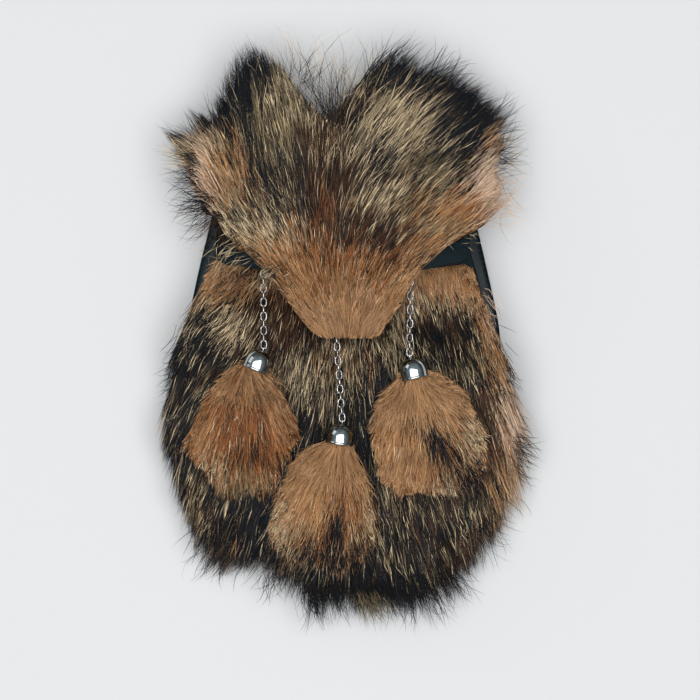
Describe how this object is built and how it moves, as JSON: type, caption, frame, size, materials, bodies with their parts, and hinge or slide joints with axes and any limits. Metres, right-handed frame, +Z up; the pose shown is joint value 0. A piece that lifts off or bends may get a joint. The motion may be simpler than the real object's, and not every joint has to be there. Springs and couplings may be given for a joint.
{
  "type": "sporran",
  "caption": "Full-mask style fur sporran pouch in black leather, with a fur-covered flap and fur tassels in dome caps on cable chains, lying on its back.",
  "frame": {"origin": "middle of the footprint on the surface that the pouch lies on, back down", "axes": "+Z up from the surface, toward the pouch's front; +Y from the hem to the top of the flap; +X to the right as seen from the front"},
  "size_m": [0.2346, 0.354, 0.0722],
  "materials": {
    "black_leather": "smooth black leather with a soft sheen",
    "front_fur": "long coarse fur, black and olive-tan with straw guard hairs",
    "flap_fur": "long coarse fur, orange-tan in the middle with straw and black banded sides",
    "tassel_fur": "combed fur, orange-brown to camel with darker tips",
    "bright_metal": "polished plating",
    "dull_metal": "dull, slightly tarnished plating"
  },
  "bodies": {
    "root": {"back_panel": "black_leather", "gusset": "black_leather", "front_panel": "black_leather", "flap_leather": "black_leather", "belt_loop_left": "black_leather", "belt_loop_right": "black_leather", "front_fur": "front_fur", "flap_fur": "flap_fur", "anchor_left": "dull_metal", "chain_left": "dull_metal", "cap_left": "bright_metal", "tassel_left": "tassel_fur", "anchor_middle": "dull_metal", "chain_middle": "dull_metal", "cap_middle": "bright_metal", "tassel_middle": "tassel_fur", "anchor_right": "dull_metal", "chain_right": "dull_metal", "cap_right": "bright_metal", "tassel_right": "tassel_fur"}
  },
  "joints": []
}
